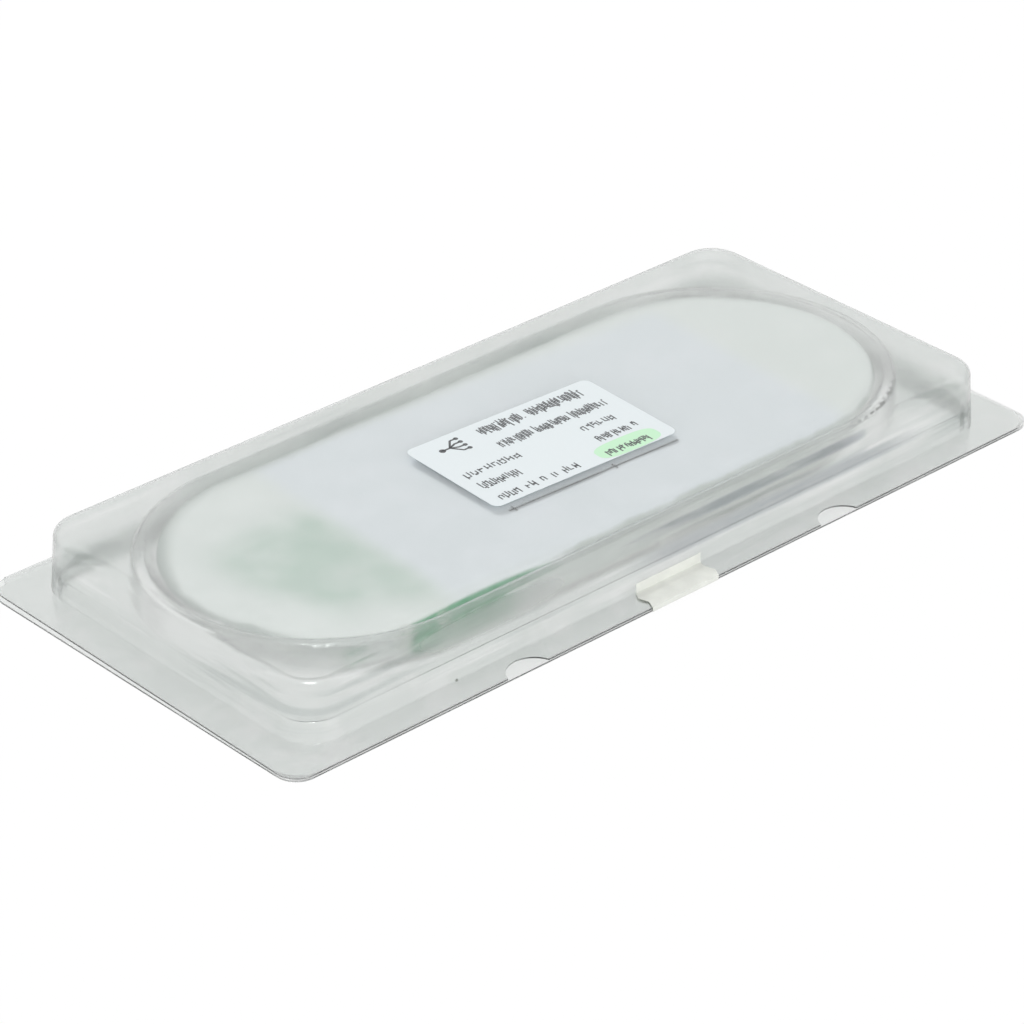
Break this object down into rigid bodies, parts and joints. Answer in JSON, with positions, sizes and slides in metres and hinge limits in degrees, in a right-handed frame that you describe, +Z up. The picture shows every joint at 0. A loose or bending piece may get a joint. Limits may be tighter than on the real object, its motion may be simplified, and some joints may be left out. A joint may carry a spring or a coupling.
{
  "type": "plc fibre splitter in clamshell pack",
  "caption": "flat fibre optic splitter module with coiled buffered fibres and angled push-pull connectors, held under foam in a folded clear clamshell with raised lid and oval well",
  "frame": {"origin": "middle of the pack footprint, on the underside of the well floor that it rests on", "axes": "+X along the pack, +Y from the taped front edge to the back fold, +Z up through the lid"},
  "size_m": [0.212, 0.0981, 0.0156],
  "materials": {
    "cap_plastic": "translucent white plastic",
    "ceramic": "polished white ceramic",
    "clear_plastic": "clear thermoformed film",
    "fibre_jacket": "white fibre buffer",
    "foam": "soft white closed-cell foam",
    "frame_plastic": "green moulded plastic",
    "green_plastic": "green moulded plastic",
    "green_rubber": "green elastomer",
    "label_paper": "white coated label",
    "paper": "plain white paper",
    "silica": "polished silica",
    "soft_plug": "black silicone",
    "steel": "bright steel",
    "tape": "cream translucent tape"
  },
  "bodies": {
    "pack": {"clamshell": "clear_plastic", "foam_pad": "foam", "info_sheet": "paper", "input_connector_boot": "green_rubber", "input_connector_dust_cap": "cap_plastic", "input_connector_ferrule": "ceramic", "input_connector_plug_frame": "frame_plastic", "input_end_plug": "soft_plug", "input_fibre_array": "silica", "input_fibre_coil": "fibre_jacket", "input_fibre_lead": "fibre_jacket", "input_fibre_tail": "fibre_jacket", "label": "label_paper", "output_1_connector_boot": "green_rubber", "output_1_connector_dust_cap": "cap_plastic", "output_1_connector_ferrule": "ceramic", "output_1_connector_plug_frame": "frame_plastic", "output_1_fibre_coil": "fibre_jacket", "output_1_fibre_lead": "fibre_jacket", "output_1_fibre_tail": "fibre_jacket", "output_2_connector_boot": "green_rubber", "output_2_connector_dust_cap": "cap_plastic", "output_2_connector_ferrule": "ceramic", "output_2_connector_plug_frame": "frame_plastic", "output_2_fibre_coil": "fibre_jacket", "output_2_fibre_lead": "fibre_jacket", "output_2_fibre_tail": "fibre_jacket", "output_3_connector_boot": "green_rubber", "output_3_connector_dust_cap": "cap_plastic", "output_3_connector_ferrule": "ceramic", "output_3_connector_plug_frame": "frame_plastic", "output_3_fibre_coil": "fibre_jacket", "output_3_fibre_lead": "fibre_jacket", "output_3_fibre_tail": "fibre_jacket", "output_4_connector_boot": "green_rubber", "output_4_connector_dust_cap": "cap_plastic", "output_4_connector_ferrule": "ceramic", "output_4_connector_plug_frame": "frame_plastic", "output_4_fibre_coil": "fibre_jacket", "output_4_fibre_lead": "fibre_jacket", "output_4_fibre_tail": "fibre_jacket", "output_end_plug": "soft_plug", "output_fibre_array": "silica", "plc_chip": "silica", "seal_tape": "tape", "splitter_tube": "steel"},
    "input_grip": {"input_connector_grip": "green_plastic"},
    "output_1_grip": {"output_1_connector_grip": "green_plastic"},
    "output_2_grip": {"output_2_connector_grip": "green_plastic"},
    "output_3_grip": {"output_3_connector_grip": "green_plastic"},
    "output_4_grip": {"output_4_connector_grip": "green_plastic"}
  },
  "joints": [
    {"name": "input_grip_slide", "type": "slide", "parent": "pack", "child": "input_grip", "axis": [1, 0, 0], "range_m": [0, 0.0016]},
    {"name": "output_1_grip_slide", "type": "slide", "parent": "pack", "child": "output_1_grip", "axis": [1, 0, 0], "range_m": [0, 0.0016]},
    {"name": "output_2_grip_slide", "type": "slide", "parent": "pack", "child": "output_2_grip", "axis": [1, 0, 0], "range_m": [0, 0.0016]},
    {"name": "output_3_grip_slide", "type": "slide", "parent": "pack", "child": "output_3_grip", "axis": [1, 0, 0], "range_m": [0, 0.0016]},
    {"name": "output_4_grip_slide", "type": "slide", "parent": "pack", "child": "output_4_grip", "axis": [1, 0, 0], "range_m": [0, 0.0016]}
  ]
}
